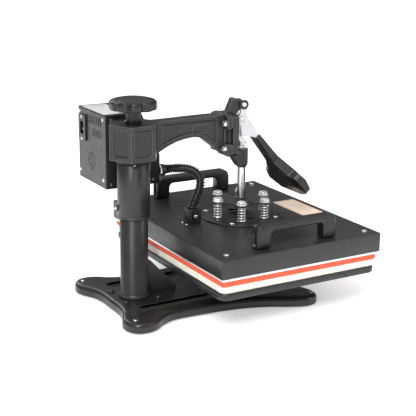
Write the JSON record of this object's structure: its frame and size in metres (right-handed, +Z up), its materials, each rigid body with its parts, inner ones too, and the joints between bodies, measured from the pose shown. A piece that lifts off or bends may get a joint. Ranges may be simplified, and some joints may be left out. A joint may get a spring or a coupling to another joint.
{
  "type": "heat press",
  "caption": "Swing-away heat press: padded lower platen on a spider base, heated upper platen on a toggle arm, control box and height knob on the column.",
  "frame": {"origin": "on the bench under the middle of the press's overall box, with the press closed", "axes": "+Z up; -Y towards the operator; +X towards the side that carries the control box"},
  "size_m": [0.39, 0.425, 0.3536],
  "materials": {
    "black_paint": "semi-gloss black paint",
    "black_casting": "semi-gloss black paint over a casting",
    "black_plastic": "moulded black plastic, satin",
    "chrome": "polished chrome plate",
    "steel": "bare turned steel",
    "bronze": "turned bronze",
    "aluminium": "milled aluminium",
    "lower_plate_paint": "black painted aluminium",
    "felt": "cream felt",
    "silicone": "orange-red silicone foam",
    "rubber": "black rubber",
    "wool": "ceramic wool",
    "board": "solder-masked board",
    "display": "smoked clear window",
    "button": "grey moulded keys",
    "rocker_red": "glossy red",
    "hose": "corrugated black conduit"
  },
  "bodies": {
    "base": {"base_plate": "black_paint", "foot_rear_right": "rubber", "foot_rear_left": "rubber", "foot_front_right": "rubber", "foot_front_left": "rubber", "column_tube": "black_paint", "column_gusset": "black_paint", "lower_stand": "black_casting", "lower_platen": "lower_plate_paint", "felt_pad": "felt", "silicone_pad": "silicone", "screw_nut": "bronze"},
    "riser": {"inner_post": "steel"},
    "knob": {"pressure_knob": "black_plastic", "lead_screw": "steel"},
    "head": {"swing_sleeve": "black_paint", "lock_screw": "steel", "head_arm": "black_casting", "toggle_bracket": "black_casting", "pivot_pin": "chrome", "box_shell": "black_paint", "box_back": "black_paint", "power_inlet": "black_plastic", "front_panel": "black_plastic", "display_window": "display", "switch_bezel": "black_plastic", "circuit_board": "board", "hose_nut": "chrome", "heater_hose": "hose"},
    "set_key": {"button_set": "button"},
    "down_key": {"button_down": "button"},
    "up_key": {"button_up": "button"},
    "rocker": {"power_rocker": "rocker_red"},
    "lever": {"lever_fork": "chrome", "middle_pin": "chrome", "lever_grip": "black_plastic"},
    "link": {"toggle_link": "chrome"},
    "press": {"press_shaft": "chrome", "shaft_pin": "chrome", "spring_plate": "black_paint"},
    "platen": {"platen_cover": "black_paint", "heating_plate": "aluminium", "heating_element": "steel", "insulation_blanket": "wool", "mounting_disc": "black_paint", "spring_bolt_1": "chrome", "spring_bolt_2": "chrome", "spring_bolt_3": "chrome", "spring_bolt_4": "chrome", "spring_bolt_5": "chrome", "spring_bolt_6": "chrome", "spring_1": "steel", "spring_2": "steel", "spring_3": "steel", "spring_4": "steel", "spring_5": "steel", "spring_6": "steel", "handle_left": "black_plastic", "handle_right": "black_plastic", "hose_gland": "black_plastic"}
  },
  "joints": [
    {"name": "riser_lift", "type": "slide", "parent": "base", "child": "riser", "axis": [0, 0, 1], "range_m": [0, 0.012]},
    {"name": "knob_turn", "type": "hinge", "parent": "riser", "child": "knob", "pos_m": [0, 0.146, 0.3476], "axis": [0, 0, 1], "range_deg": [0, 1081]},
    {"name": "head_swing", "type": "hinge", "parent": "riser", "child": "head", "pos_m": [0, 0.146, 0.2476], "axis": [0, 0, 1], "range_deg": [-180, 180]},
    {"name": "lever_swing", "type": "hinge", "parent": "head", "child": "lever", "pos_m": [0, -0.057, 0.3256], "axis": [-1, 0, 0], "range_deg": [0, 110]},
    {"name": "press_lift", "type": "slide", "parent": "head", "child": "press", "axis": [0, 0, 1], "range_m": [0, 0.0341], "deforming": ["heater_hose"]},
    {"name": "link_swing", "type": "hinge", "parent": "press", "child": "link", "pos_m": [0, -0.06, 0.2571], "axis": [-1, 0, 0], "range_deg": [-38, 0]},
    {"name": "platen_float", "type": "slide", "parent": "press", "child": "platen", "axis": [0, 0, 1], "range_m": [0, 0.004], "stiffness_N_per_m": 6000, "springref_m": -0.005, "deforming": ["spring_1", "spring_2", "spring_3", "spring_4", "spring_5", "spring_6"]},
    {"name": "rocker_tip", "type": "hinge", "parent": "head", "child": "rocker", "pos_m": [0.1505, 0.127, 0.2386], "axis": [0, 1, 0], "range_deg": [0, 12]},
    {"name": "set_press", "type": "slide", "parent": "head", "child": "set_key", "axis": [0, 0.9087, -0.4175], "range_m": [0, 0.0012], "stiffness_N_per_m": 300, "springref_m": -0.001},
    {"name": "down_press", "type": "slide", "parent": "head", "child": "down_key", "axis": [0, 0.9087, -0.4175], "range_m": [0, 0.0012], "stiffness_N_per_m": 300, "springref_m": -0.001},
    {"name": "up_press", "type": "slide", "parent": "head", "child": "up_key", "axis": [0, 0.9087, -0.4175], "range_m": [0, 0.0012], "stiffness_N_per_m": 300, "springref_m": -0.001}
  ],
  "couplings": [
    {"joint": "knob_turn", "follows": "riser_lift", "rad_per_m": 1570.8},
    {"joint": "press_lift", "follows": "lever_swing", "m_per_rad": 0.01771},
    {"joint": "link_swing", "follows": "lever_swing", "ratio": -0.343}
  ]
}
